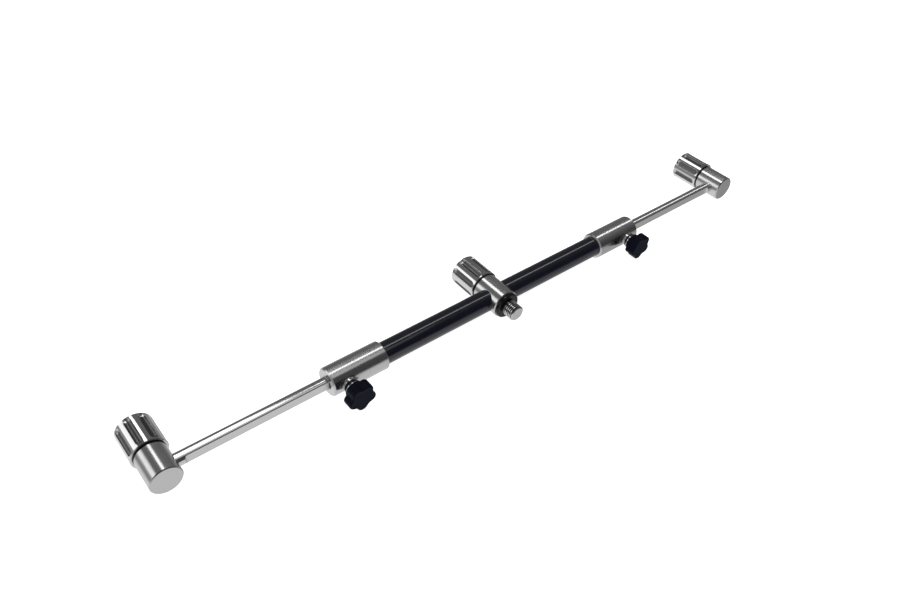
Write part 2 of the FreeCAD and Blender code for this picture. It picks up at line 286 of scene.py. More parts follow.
def thread(shell, heights, angles, radius, pitch, hand, inward=False):
    """A screw thread. radius(h, wave) is its surface, with wave 0 on a crest and 1 in a root.

    For a thread in a socket, inward turns the normals and the crests point to the axis.
    """
    h, a = np.meshgrid(heights, angles, indexing="ij")

    def surface(h, a):
        swing = THREAD_FLANK * np.cos(TAU * (h / pitch + hand * a / TAU))
        flank = 0.5 - np.arcsin(swing) / math.asin(THREAD_FLANK) / 2
        wave = np.clip((flank - THREAD_CREST) / (1 - 1.5 * THREAD_CREST), 0, 1)
        return radius(h, wave)

    r = surface(h, a)
    slope_h = (surface(h + NUDGE, a) - surface(h - NUDGE, a)) / (2 * NUDGE)
    slope_a = (surface(h, a + NUDGE) - surface(h, a - NUDGE)) / (2 * NUDGE) / r
    cos, sin = np.cos(a), np.sin(a)
    normals = np.stack([cos + slope_a * sin, sin - slope_a * cos, -slope_h], -1)
    if inward:
        normals = -normals
    shell.grid(np.stack([r * cos, r * sin, h], -1), normals, np.stack([a / TAU, h + THREAD_MARK], -1))


def perimeter(thetas, heights):
    """Nodes round a wall panel, from its first corner back to it."""
    low, high = heights[0], heights[-1]
    theta = [thetas, np.full(len(heights), thetas[-1])[1:], thetas[::-1][1:]]
    theta.append(np.full(len(heights), thetas[0])[1:])
    h = [np.full(len(thetas), low), heights[1:], np.full(len(thetas), high)[1:], heights[::-1][1:]]
    return np.stack([np.concatenate(theta), np.concatenate(h)], -1)


def wall(shell, radius, thetas, heights, first_angle, windows, start=0.0,
         inward=False, rows=8, mark=0.0):
    """A cylinder's wall in equal panels. A panel is plain, or has a window cut in it.

    windows has one entry for each panel: None, or a function that takes the panel's
    nodes and gives the window's rim and the rows of points inside it. start is the path
    coordinate at the wall's foot. mark is added to it inside the windows, so a finish
    and painted shade can differ there.
    """
    side = -1 if inward else 1

    def skin(spots, angle):
        theta, h = spots[..., 0] + angle, spots[..., 1]
        cos, sin = np.cos(theta), np.sin(theta)
        points = np.stack([radius * cos, radius * sin, h], -1)
        return points, side * np.stack([cos, sin, 0 * h], -1), theta, h

    for i, window in enumerate(windows):
        angle = first_angle + TAU * i / len(windows)
        if window is None:
            theta, h = np.meshgrid(thetas, heights, indexing="ij")
            points, normals, theta, h = skin(np.stack([theta, h], -1), angle)
            uv = np.stack([theta / TAU, start + abs(h - heights[0])], -1)
            shell.grid(points, normals, uv)
            continue
        nodes = perimeter(thetas, heights)
        rim, inner = window(nodes)
        scale = np.array([radius, 1.0])
        away = (nodes - rim) * scale
        away /= np.linalg.norm(away, axis=1, keepdims=True)
        lip = rim + away * BREAK / scale
        share = np.linspace(0, 1, rows + 1)[:, None, None]
        points, normals, theta, h = skin(nodes + (lip - nodes) * share, angle)
        shell.grid(points, normals, np.stack([theta / TAU, start + abs(h - heights[0])], -1))
        turned = np.array([[math.cos(angle), math.sin(angle), 0],
                           [-math.sin(angle), math.cos(angle), 0], [0, 0, 1]])
        inner_points, inner_normals = inner[0] @ turned, inner[1] @ turned
        edge = skin(rim, angle)[0]
        share = np.linspace(0, 1, 5)[:, None, None]
        bend = ((1 - share) ** 2 * points[-1] + 2 * share * (1 - share) * edge
                + share ** 2 * inner_points[0])
        lean = (1 - share) * normals[-1] + share * inner_normals[0]
        uv = np.stack([theta[-1] / TAU, start + h[-1]], -1)
        shell.grid(bend, lean, np.broadcast_to(uv, (5, *uv.shape)).copy())
        turned_by = np.broadcast_to(uv[:, 0], inner_points.shape[:2])
        deep = np.stack([turned_by, mark + inner_points[..., 2] - heights[0]], -1)
        shell.grid(inner_points, inner_normals, deep)


def round_hole(radius, hole_r, height, metric, levels, floor_r=None, inward=False):
    """A round hole across a wall's axis, from its rim to each level of a along its own axis.

    metric is the radius that turns a panel node's angle into a length. Two holes with the
    same metric have their points in the same directions.
    """

    def window(nodes):
        angle = np.arctan2(nodes[:, 1] - height, metric * nodes[:, 0])
        cos, sin = np.cos(angle), np.sin(angle)
        across = hole_r * cos
        rim = np.stack([np.arcsin(across / radius), height + hole_r * sin], -1)
        top = np.sqrt(radius ** 2 - across ** 2) + (BREAK if inward else -BREAK)
        flat = np.zeros_like(cos)
        points = [np.stack([top + (level - top) * t, across, height + hole_r * sin], -1)
                  for level in levels for t in (0, 1)]
        normals = [np.stack([flat, -cos, -sin], -1)] * len(points)
        if floor_r is not None:
            for r in (hole_r, floor_r):
                points.append(np.stack([flat + levels[-1], r * cos, height + r * sin], -1))
                normals.append(np.stack([flat + 1, flat, flat], -1))
        return rim, (np.array(points), np.array(normals))

    return window


def flute(radius, low, high):
    """A groove milled along a wall with a ball cutter, from its rim to its middle."""
    reach = radius + FLUTE_R - FLUTE_DEPTH

    def window(nodes):
        spine = np.clip(nodes[:, 1], low, high)
        away = np.stack([nodes[:, 0] * radius, nodes[:, 1] - spine], -1)
        away /= np.linalg.norm(away, axis=1, keepdims=True)
        near, far = np.zeros(len(nodes)), np.full(len(nodes), 2 * FLUTE_R)
        for _ in range(40):
            middle = (near + far) / 2
            theta = middle * away[:, 0] / radius
            gap = reach ** 2 + radius ** 2 - 2 * reach * radius * np.cos(theta)
            inside = gap + (middle * away[:, 1]) ** 2 < FLUTE_R ** 2
            near, far = np.where(inside, middle, near), np.where(inside, far, middle)
        rim = np.stack([near * away[:, 0] / radius, spine + near * away[:, 1]], -1)
        share = (np.cos(np.linspace(0, math.pi / 2, 9)) * (1 - BREAK / near[0]))[:, None]
        theta = share * rim[:, 0]
        rise = share * near * away[:, 1]
        chord = FLUTE_R ** 2 - rise ** 2 - (reach * np.sin(theta)) ** 2
        r = reach * np.cos(theta) - np.sqrt(np.maximum(chord, 0))
        points = np.stack([r * np.cos(theta), r * np.sin(theta), spine + rise], -1)
        centre = np.stack([np.full_like(theta, reach), 0 * theta, spine + 0 * rise], -1)
        return rim, (points, (centre - points) / FLUTE_R)

    return window


def columns_of(thetas, first_angle, panels):
    """The angles of every column of a wall, from its first panel round to it again."""
    angles = [first_angle + TAU * i / panels + thetas[:-1] for i in range(panels)]
    return np.append(np.concatenate(angles), angles[0][0] + TAU)


def panel(half_angle, steps):
    """Column angles across one panel."""
    return np.linspace(-half_angle, half_angle, steps + 1)


# ================================ materials ============================================
def node_material(name):
    """An empty node material with a Principled shader."""
    material = bpy.data.materials.new(name)
    material.use_nodes = True
    nodes, links = material.node_tree.nodes, material.node_tree.links
    shader = nodes["Principled BSDF"]
    return material, nodes, links, shader


def noise(nodes, links, vector, scale, detail=2.0, roughness=0.5):
    """A noise texture on a vector socket."""
    texture = nodes.new("ShaderNodeTexNoise")
    texture.inputs["Scale"].default_value = scale
    texture.inputs["Detail"].default_value = detail
    texture.inputs["Roughness"].default_value = roughness
    links.new(vector, texture.inputs["Vector"])
    return texture.outputs["Fac"]


def remap(nodes, links, value, low, high, from_low=0.3, from_high=0.7):
    """Spreads a value from one range to another."""
    node = nodes.new("ShaderNodeMapRange")
    node.inputs["From Min"].default_value = from_low
    node.inputs["From Max"].default_value = from_high
    node.inputs["To Min"].default_value = low
    node.inputs["To Max"].default_value = high
    links.new(value, node.inputs["Value"])
    return node.outputs["Result"]


def stretched(nodes, links, source, scale):
    """A coordinate stretched by a factor along each axis."""
    mapping = nodes.new("ShaderNodeMapping")
    mapping.inputs["Scale"].default_value = scale
    links.new(source, mapping.inputs["Vector"])
    return mapping.outputs["Vector"]


def bump(nodes, links, height, strength, distance):
    """A bump of a height in metres."""
    node = nodes.new("ShaderNodeBump")
    node.inputs["Strength"].default_value = strength
    node.inputs["Distance"].default_value = distance
    links.new(height, node.inputs["Height"])
    return node.outputs["Normal"]


def feed(links, socket, value):
    """Links a socket to another one, or sets its number or colour."""
    if isinstance(value, bpy.types.NodeSocket):
        links.new(value, socket)
    else:
        socket.default_value = value


def calculated(nodes, links, operation, first, second=0.0):
    """A math node on sockets or numbers."""
    node = nodes.new("ShaderNodeMath")
    node.operation = operation
    feed(links, node.inputs[0], first)
    feed(links, node.inputs[1], second)
    return node.outputs[0]


def mixed(nodes, links, share, first, second, kind="RGBA"):
    """first where share is 0, second where it is 1: colours, or numbers for the kind FLOAT."""
    node = nodes.new("ShaderNodeMix")
    node.data_type = kind
    links.new(share, node.inputs["Factor"])
    feed(links, node.inputs["A"], first)
    feed(links, node.inputs["B"], second)
    return node.outputs["Result"]


def shade(colour, factor=1.0):
    """A colour times a factor, with its alpha."""
    return (*[factor * c for c in colour], 1)


def parts_of(nodes, links, vector):
    """The x, y and z sockets of a vector."""
    split = nodes.new("ShaderNodeSeparateXYZ")
    links.new(vector, split.inputs["Vector"])
    return split.outputs


def coordinates(nodes):
    """The turned (turn, path in mm) coordinates and the object's own ones."""
    uv = nodes.new("ShaderNodeUVMap")
    uv.uv_map = "turned"
    place = nodes.new("ShaderNodeTexCoord")
    return uv.outputs["UV"], place.outputs["Object"]


def steel(name, colour, rough, grooves, groove_height, anisotropic=0.0, milled=None, pitch=None):
    """Turned stainless steel: fine grooves round the piece, and handling marks in its gloss.

    milled is the (colour factor, roughness) inside the flutes: the colour factor is painted shade, the
    roughness is the cutter's finish.
    pitch is that of a thread, whose roots get painted shade, darker than its crests.
    """
    material, nodes, links, shader = node_material(name)
    turned, place = coordinates(nodes)
    shader.inputs["Metallic"].default_value = 1.0
    shader.inputs["Anisotropic"].default_value = anisotropic
    smudge = noise(nodes, links, place, 260, 4)
    streak = noise(nodes, links, stretched(nodes, links, turned, (1.5, grooves, 1)), 1.0, 3, 0.6)
    streaked = remap(nodes, links, streak, 0, 1)
    tone = mixed(nodes, links, streaked, shade(colour, STREAK_TONE), shade(colour))
    gloss = remap(nodes, links, smudge, rough[0], rough[1])
    turns, along = parts_of(nodes, links, turned)[:2]
    # painted shade: the colour in a thread's roots is darkened to a share of its crests'
    if pitch:
        climbed = calculated(nodes, links, "MULTIPLY", along, 1 / pitch)
        turns = calculated(nodes, links, "ADD", climbed, turns)
        swing = calculated(nodes, links, "COSINE", calculated(nodes, links, "MULTIPLY", turns, TAU))
        root = remap(nodes, links, swing, 1, 0, -0.5, 0.5)
        threaded = remap(nodes, links, along, 0, 1, THREAD_MARK / 2, THREAD_MARK / 2 + 1)
        root = calculated(nodes, links, "MULTIPLY", root, threaded)
        tone = mixed(nodes, links, root, tone, shade(colour, ROOT_SHADE_TONE))
    # painted shade in the flutes: their colour is darkened by milled[0], except near their ends;
    # milled[1] is the cutter's roughness
    if milled:
        length = box_mm("collar_left")[1][1] - box_mm("collar_left")[0][1]
        first = FLUTE_MARK + FLUTE_BELOW - COLLAR_LOWER_EDGE + UNSHADED_FLUTE_ENDS[0]
        last = FLUTE_MARK + length - FLUTE_ABOVE - COLLAR_LOWER_EDGE - UNSHADED_FLUTE_ENDS[1]
        inside = remap(nodes, links, along, 0, 1, first, first + FLUTE_SHADE_AND_GLOSS_FADE)
        beyond = remap(nodes, links, along, 1, 0, last, last + FLUTE_SHADE_AND_GLOSS_FADE)
        both = calculated(nodes, links, "MULTIPLY", inside, beyond)
        tone = mixed(nodes, links, both, tone, shade(colour, milled[0]))
        gloss = mixed(nodes, links, both, gloss, milled[1], "FLOAT")
    links.new(tone, shader.inputs["Base Color"])
    links.new(gloss, shader.inputs["Roughness"])
    links.new(bump(nodes, links, streak, 0.5, groove_height), shader.inputs["Normal"])
    if anisotropic:
        shader.inputs["Anisotropic Rotation"].default_value = 0.25
        tangent = nodes.new("ShaderNodeTangent")
        tangent.direction_type = "UV_MAP"
        tangent.uv_map = "turned"
        links.new(tangent.outputs["Tangent"], shader.inputs["Tangent"])
    return material


def ground_steel(name):
    """Drawn bar: glossy round, with a cross grain on its milled flat."""
    material, nodes, links, shader = node_material(name)
    turned, _ = coordinates(nodes)
    shader.inputs["Metallic"].default_value = 1.0
    shader.inputs["Base Color"].default_value = (0.72, 0.715, 0.72, 1)
    turns = parts_of(nodes, links, turned)[0]
    milled = remap(nodes, links, turns, 0, 1, FLAT_MARK / 2, FLAT_MARK / 2 + 0.01)
    drawn = noise(nodes, links, stretched(nodes, links, turned, (90, 0.6, 1)), 1.0, 2)
    grain = nodes.new("ShaderNodeMapping")
    grain.inputs["Rotation"].default_value = (0, 0, math.radians(35))
    grain.inputs["Scale"].default_value = (0.5, 7.0, 1)
    links.new(turned, grain.inputs["Vector"])
    milled_grain = noise(nodes, links, grain.outputs["Vector"], 1.0, 3, 0.6)
    round_gloss = remap(nodes, links, drawn, 0.1, 0.16)
    flat_gloss = remap(nodes, links, milled_grain, 0.26, 0.4)
    links.new(mixed(nodes, links, milled, round_gloss, flat_gloss, "FLOAT"), shader.inputs["Roughness"])
    height = mixed(nodes, links, milled, drawn, milled_grain, "FLOAT")
    links.new(bump(nodes, links, height, 0.4, 0.000006), shader.inputs["Normal"])
    return material


def coated(name, colour, rough, grain_scale, grain_height, coat=0.0, specular=0.5):
    """A dark lacquer, moulded plastic or rubber with a fine grain."""
    material, nodes, links, shader = node_material(name)
    _, place = coordinates(nodes)
    shader.inputs["Coat Weight"].default_value = coat
    shader.inputs["Coat IOR"].default_value = 1.85
    shader.inputs["Coat Roughness"].default_value = 0.06
    shader.inputs["Specular IOR Level"].default_value = specular
    patch = noise(nodes, links, place, 180, 3)
    grain = noise(nodes, links, place, grain_scale, 4, 0.6)
    tone = mixed(nodes, links, remap(nodes, links, patch, 0, 1), shade(colour, 0.7), shade(colour))
    links.new(tone, shader.inputs["Base Color"])
    links.new(remap(nodes, links, patch, rough[0], rough[1]), shader.inputs["Roughness"])
    links.new(bump(nodes, links, grain, 0.4, grain_height), shader.inputs["Normal"])
    return material


POLISHED = (0.75, 0.745, 0.75)
SATIN = (0.66, 0.655, 0.66)
MATERIALS = {
    # the collars' flutes get painted shade (colour factor 0.2) and a rougher finish (0.3)
    "polished_steel": steel("polished_steel", POLISHED, (0.05, 0.09), 9, 0.000001, milled=(0.2, 0.3)),
    "satin_steel": steel("satin_steel", SATIN, (0.21, 0.25), 5, 0.0000005, anisotropic=0.5),
    "turned_steel": steel("turned_steel", SATIN, (0.12, 0.18), 8, 0.000004),
    "thread_steel": steel("thread_steel", POLISHED, (0.12, 0.18), 8, 0.000001, pitch=BSF_PITCH),
    "bolt_steel": steel("bolt_steel", (0.5, 0.495, 0.5), (0.22, 0.3), 6, 0.000004),
    "bar_steel": ground_steel("bar_steel"),
    "tube_lacquer": coated(
        "tube_lacquer", (0.002, 0.0025, 0.01), (0.2, 0.28), 2500, 0.0000004, coat=0.5, specular=0.3),
    "knob_plastic": coated(
        "knob_plastic", (0.003, 0.0042, 0.011), (0.4, 0.5), 3500, 0.00001, specular=0.05),
    "rubber": coated("rubber", (0.004, 0.004, 0.005), (0.15, 0.22), 3000, 0.000005, specular=0.3),
    "acetal": coated("acetal", (0.55, 0.54, 0.5), (0.4, 0.5), 2500, 0.00001),
}


def finish_piece(shell, name, slot, body, *nodes):
    """Makes a shell's piece, puts it on its body and in the place of its CAD nodes."""
    piece = shell.make(name, MATERIALS[slot])
    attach(piece, body)
    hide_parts(*nodes)
    return piece


def turned_on_y(node):
    """Axis (x, z), radius and ends in y of a CAD node that is turned about Y."""
    low, high = box_mm(node)
    middle = (low + high) / 2
    return middle, (high[0] - low[0]) / 2, low[1], high[1]


def turned_on_x(node):
    """Axis (y, z), radius and ends in x of a CAD node that is turned about X."""
    low, high = box_mm(node)
    middle = (low + high) / 2
    return middle, (high[2] - low[2]) / 2, low[0], high[0]


# ================================ pieces ===============================================
def make_collar(rest):
    """A fluted collar with its threaded socket."""
    node = "collar_" + rest
    middle, radius, y0, y1 = turned_on_y(node)
    shell = Shell("Y", (middle[0], 0, middle[2]))
    half = math.pi / FLUTES
    thetas = panel(half, 16)
    first = math.radians(FLUTE_ANGLE[rest])
    angles = columns_of(thetas, first, FLUTES)
    wall_low, wall_high = y0 + COLLAR_LOWER_EDGE, y1 - COLLAR_UPPER_EDGE
    end_reach = math.sqrt(FLUTE_R ** 2 - (FLUTE_R - FLUTE_DEPTH) ** 2)
    low, high = y0 + FLUTE_BELOW + end_reach, y1 - FLUTE_ABOVE - end_reach
    heights = np.concatenate([
        np.linspace(wall_low, low, 6)[:-1], np.linspace(low, high, 7)[:-1],
        np.linspace(high, wall_high, 6)])
    wall(shell, radius, thetas, heights, first, [flute(radius, low, high)] * FLUTES, COLLAR_PATH,
         mark=FLUTE_MARK)
    core = BSF_CORE_R
    thread_low, thread_high = y0 + THREAD_START, y1 - SOCKET_CHAMFER
    turn(shell, [
        (radius, wall_high, 0), (radius - COLLAR_UPPER_EDGE, y1, BREAK),
        (core + SOCKET_CHAMFER, y1, BREAK), (core, thread_high, 0)], angles)
    turn(shell, [
        (core, thread_low, 0), (CHAMBER_R, thread_low, 0), (CHAMBER_R, y0 + COLLAR_FLOOR, 0),
        (BUSH_HOLE_R, y0 + COLLAR_FLOOR, 0), (BUSH_HOLE_R, y0, BREAK),
        (radius - COLLAR_LOWER_EDGE, y0, BREAK), (radius, wall_low, 0)], angles)

    def socket(h, wave):
        ends = np.clip(np.minimum(h - thread_low, thread_high - h) / SOCKET_FADE, 0, 1)
        return core + BSF_DEPTH * wave * ends

    rows = np.linspace(thread_low, thread_high, 110)
    thread(shell, rows, angles, socket, BSF_PITCH, 1, inward=True)
    finish_piece(shell, "rest_collar_" + rest, "polished_steel", "collar_" + rest, node)


def body_ends(radius, y0, y1, edge):
    """Outlines of a rest body below and above its wall."""
    shoulder = y1 - SPIGOT_LEN
    wall_low, wall_high = y0 + edge + BODY_MARGIN, shoulder - BODY_MARGIN
    below = [(0, y0, 0), (radius - edge, y0, BREAK), (radius, y0 + edge, BREAK), (radius, wall_low, 0)]
    above = [(radius, wall_high, 0), (radius, shoulder, BREAK), (SPIGOT_R, shoulder, 0),
             (SPIGOT_R, y1, BREAK), (0, y1, 0)]
    return below, above, wall_low, wall_high


def make_head(side):
    """The body of an end rest, with the hole that its bar goes into."""
    node = "head_body_" + side
    middle, radius, y0, y1 = turned_on_y(node)
    bar_low, bar_high = box_mm("inner_bar_" + side)
    bar_y = bar_high[1] - (bar_high[2] - bar_low[2]) / 2
    shell = Shell("Y", (middle[0], 0, middle[2]))
    thetas = panel(math.radians(60), 36)
    first = math.pi if SIDES[side] > 0 else 0.0
    angles = columns_of(thetas, first, 3)
    below, above, wall_low, wall_high = body_ends(radius, y0, y1, BODY_EDGE)
    heights = np.linspace(wall_low, wall_high, 25)
    hole = round_hole(radius, BAR_HOLE_R, bar_y, radius, [BAR_ROOT], 0.0)
    wall(shell, radius, thetas, heights, first, [hole, None, None], BODY_PATH, rows=14)
    turn(shell, below, angles)
    turn(shell, above, angles)
    finish_piece(shell, "rest_body_" + side, "satin_steel", "bar_" + side, node)


def make_hub():
    """The centre rest's body, which the tube passes through."""
    middle, radius, y0, y1 = turned_on_y("hub_body")
    tube_middle = turned_on_x("centre_tube")[0]
    shell = Shell("Y", (middle[0], 0, middle[2]))
    thetas = panel(math.radians(90), 60)
    angles = columns_of(thetas, 0.0, 2)
    below, above, wall_low, wall_high = body_ends(radius, y0, y1, BODY_EDGE)
    heights = np.linspace(wall_low, wall_high, 31)
    hole = round_hole(radius, TUBE_HOLE_R, tube_middle[1], radius, [0.0])
    wall(shell, radius, thetas, heights, 0.0, [hole, hole], BODY_PATH, rows=18)
    turn(shell, below, angles)
    turn(shell, above, angles)
    finish_piece(shell, "rest_body_centre", "satin_steel", "centre", "hub_body")


def make_ring(name, node, slot, body, inner, rounding, inner_rounding=0.0):
    """An O-ring or a plain ring about Y, squeezed flat between two faces."""
    middle, radius, y0, y1 = turned_on_y(node)
    shell = Shell("Y", (middle[0], 0, middle[2]))
    turn(shell, [
        (inner, y0, inner_rounding), (radius, y0, rounding),
        (radius, y1, rounding), (inner, y1, inner_rounding)], around(), closed=True)
    finish_piece(shell, name, slot, body, node)


def make_stud():
    """The threaded stud that screws into the bank stick, relieved next to the hub."""
    middle, radius, y0, _ = turned_on_y("hub_stud")
    top = box_mm("hub_body")[0][1]
    shell = Shell("Y", (middle[0], 0, middle[2]))
    relief_r, relief_len = STUD_RELIEF
    thread_high = top - relief_len

    def surface(h, wave):
        starts = np.clip((h - y0) / STUD_FADE, 0, 1)
        crest = np.minimum(radius - BSF_DEPTH * wave * starts, radius - STUD_CHAMFER + (h - y0))
        return np.minimum(crest, relief_r + (thread_high - h))

    rows = np.linspace(y0, thread_high, 220)
    thread(shell, rows, around(144), surface, BSF_PITCH, 1)
    turn(shell, [(0, y0, 0), (radius - STUD_CHAMFER, y0, 0)], around(144))
    turn(shell, [(relief_r, thread_high, 0), (relief_r, top, 0), (0, top, 0)], around())
    finish_piece(shell, "bank_stick_stud", "thread_steel", "centre", "hub_stud")


def make_tube():
    """The lacquered centre tube."""
    middle, radius, x0, x1 = turned_on_x("centre_tube")
    shell = Shell("X", (0, middle[1], middle[2]))
    turn(shell, [
        (TUBE_BORE_R, x0, CRISP), (radius, x0, EASED),
        (radius, x1, EASED), (TUBE_BORE_R, x1, CRISP)], around(128), closed=True)
    finish_piece(shell, "outer_tube", "tube_lacquer", "centre", "centre_tube")


def make_sleeve(side):
    """The sleeve on the tube's end, with the hole for its clamp bush."""
    sign = SIDES[side]
    node = "sleeve_" + side
    middle, radius, low, high = turned_on_x(node)
    x0, x1 = (low, high) if sign > 0 else (-high, -low)
    shell = Shell("X" if sign > 0 else "-X", (0, middle[1], middle[2]))
    screw = x1 - SCREW_FROM_END
    shoulder = x0 + SLEEVE_SOCKET
    edge = SLEEVE_EDGE
    thetas = panel(math.radians(45), 24)
    angles = columns_of(thetas, math.pi, 4)
    wall_low, wall_high = shoulder + SLEEVE_MARGIN[0], x1 - edge - SLEEVE_MARGIN[1]
    heights = np.linspace(wall_low, wall_high, 21)
    outer = round_hole(radius, BUSH_BARREL_R, screw, radius, [BUSH_FLOOR], PAD_HOLE_R)
    wall(shell, radius, thetas, heights, math.pi, [outer, None, None, None], shoulder, rows=9)
    inner = round_hole(SLEEVE_BORE_R, PAD_HOLE_R, screw, radius, [BUSH_FLOOR], inward=True)
    wall(shell, SLEEVE_BORE_R, thetas, heights, math.pi, [inner, None, None, None], inward=True, rows=5)
    tube_r = TUBE_HOLE_R
    turn(shell, [
        (SLEEVE_BORE_R, wall_low, 0), (SLEEVE_BORE_R, shoulder, 0), (tube_r, shoulder, 0),
        (tube_r, x0, SOFT), (radius - edge, x0, SOFT), (radius, x0 + edge, SOFT),
        (radius, wall_low, 0)], angles)
    turn(shell, [
        (radius, wall_high, 0), (radius, x1 - edge, SOFT), (radius - edge, x1, SOFT),
        (SLEEVE_BORE_R + SLEEVE_MOUTH, x1, SOFT), (SLEEVE_BORE_R, x1 - SLEEVE_MOUTH, BREAK),
        (SLEEVE_BORE_R, wall_high, 0)], angles)
    finish_piece(shell, "tube_sleeve_" + side, "satin_steel", "centre", node)


def make_bar(side):
    """The sliding bar: round, with a milled flat that runs out at both ends."""
    sign = SIDES[side]
    node = "inner_bar_" + side
    low, high = box_mm(node)
    radius = (high[2] - low[2]) / 2
    centre = (0, high[1] - radius, (low[2] + high[2]) / 2)
    inner, outer = (low[0], high[0]) if sign > 0 else (-high[0], -low[0])
    shell = Shell("X" if sign > 0 else "-X", centre)
    flat0, flat1 = inner + FLAT_FROM_BUSH, outer - FLAT_FROM_HEAD
    reach = math.sqrt(FLAT_RUNOUT_R ** 2 - (FLAT_RUNOUT_R - FLAT_DEPTH) ** 2)
    slope = np.linspace(0, 1, 9) * reach

    def depth_at(x):
        inset = np.minimum(x - flat0, flat1 - x)
        across = np.clip(reach - inset, 0, reach)
        ease = FLAT_RUNOUT_R - np.sqrt(FLAT_RUNOUT_R ** 2 - across ** 2)
        return np.where(inset > 0, FLAT_DEPTH - ease, 0)

    x = np.concatenate([
        [inner, inner + BAR_END_ROW], flat0 + slope,
        np.linspace(flat0 + reach, flat1 - reach, 40)[1:-1],
        flat1 - slope[::-1], [outer - BAR_END_ROW, outer]])
    depth = np.clip(depth_at(x), 0, None)
    half = np.arccos((radius - depth) / radius)
    share = np.linspace(-1, 1, 73)
    angle = (math.pi - half)[:, None] * share[None, :]
    cos, sin = np.cos(angle), np.sin(angle)
    xx = np.broadcast_to(x[:, None], angle.shape)
    shell.grid(np.stack([radius * cos, radius * sin, xx], -1), np.stack([cos, sin, 0 * xx], -1),
               np.stack([angle / TAU, xx], -1))
    rise = np.clip(depth_at(x + NUDGE), 0, None) - np.clip(depth_at(x - NUDGE), 0, None)
    slopes = rise / (2 * NUDGE)
    slopes = np.where(depth > 0, slopes, 0)
    across = np.linspace(-1, 1, 13)[None, :] * (radius * np.sin(half))[:, None]
    level = np.broadcast_to((depth - radius)[:, None], across.shape)
    xx = np.broadcast_to(x[:, None], across.shape)
    tilt = np.broadcast_to(slopes[:, None], across.shape)
    shell.grid(np.stack([level, across, xx], -1), np.stack([0 * tilt - 1, 0 * tilt, tilt], -1),
               np.stack([FLAT_MARK + across * FLAT_TURN, xx], -1))
    angles = math.pi * share
    for end, way in ((inner, -1), (outer, 1)):
        ring = np.stack([radius * np.cos(angles), radius * np.sin(angles), 0 * angles + end], -1)
        hub = np.zeros_like(ring) + (0, 0, end)
        cap = np.stack([hub, ring])
        shell.grid(cap, np.zeros_like(cap) + (0, 0, way), np.zeros((2, len(angles), 2)))
    finish_piece(shell, "sliding_bar_" + side, "bar_steel", "bar_" + side, node)


def make_clamp(side):
    """The clamp bush's rim on the sleeve."""
    node = "clamp_bush_" + side
    middle, radius, y0, _ = turned_on_y(node)
    bar_y = turned_on_x("centre_tube")[0][1]
    inner_end = bar_y - BUSH_FLOOR
    seat = y0 + CLAMP_RIM_LEN
    shell = Shell("Y", (middle[0], 0, middle[2]))
    turn(shell, [
        (CLAMP_BORE_R, y0, CRISP), (radius, y0, EASED), (radius, seat, CRISP),
        (CLAMP_BARREL_R, seat, 0), (CLAMP_BARREL_R, inner_end, 0),
        (CLAMP_BORE_R, inner_end, 0)], around(), closed=True)
    finish_piece(shell, "clamp_bush_rim_" + side, "turned_steel", "centre", node)


def make_screw(side):
    """The thumbscrew's threaded shaft and its flange."""
    node = "thumb_screw_" + side
    middle, radius, y0, y1 = turned_on_y(node)
    flange_high = y1 - FLANGE_TO_NOSE
    flange_low = flange_high - FLANGE_LEN
    shell = Shell("Y", (middle[0], 0, middle[2]))
    thread_high = y1 - NOSE_CHAMFER

    def surface(h, wave):
        ends = np.clip(np.minimum(h - flange_high, thread_high - h) / SCREW_FADE, 0, 1)
        return SCREW_R - M5_DEPTH * wave * ends

    thread(shell, np.linspace(flange_high, thread_high, 90), around(), surface, M5_PITCH, 1)
    turn(shell, [
        (0, y0, 0), (SCREW_R, y0, 0), (SCREW_R, flange_low, 0), (radius, flange_low, EASED),
        (radius, flange_high, EASED), (SCREW_R, flange_high, 0)], around())
    bore_r, bore_depth = NOSE_BORE
    turn(shell, [
        (SCREW_R, thread_high, 0), (SCREW_R - NOSE_CHAMFER, y1, 0), (bore_r, y1, 0),
        (bore_r, y1 - bore_depth, 0), (0, y1 - bore_depth, 0)], around())
    finish_piece(shell, "clamp_screw_" + side, "turned_steel", "thumbscrew_" + side, node)


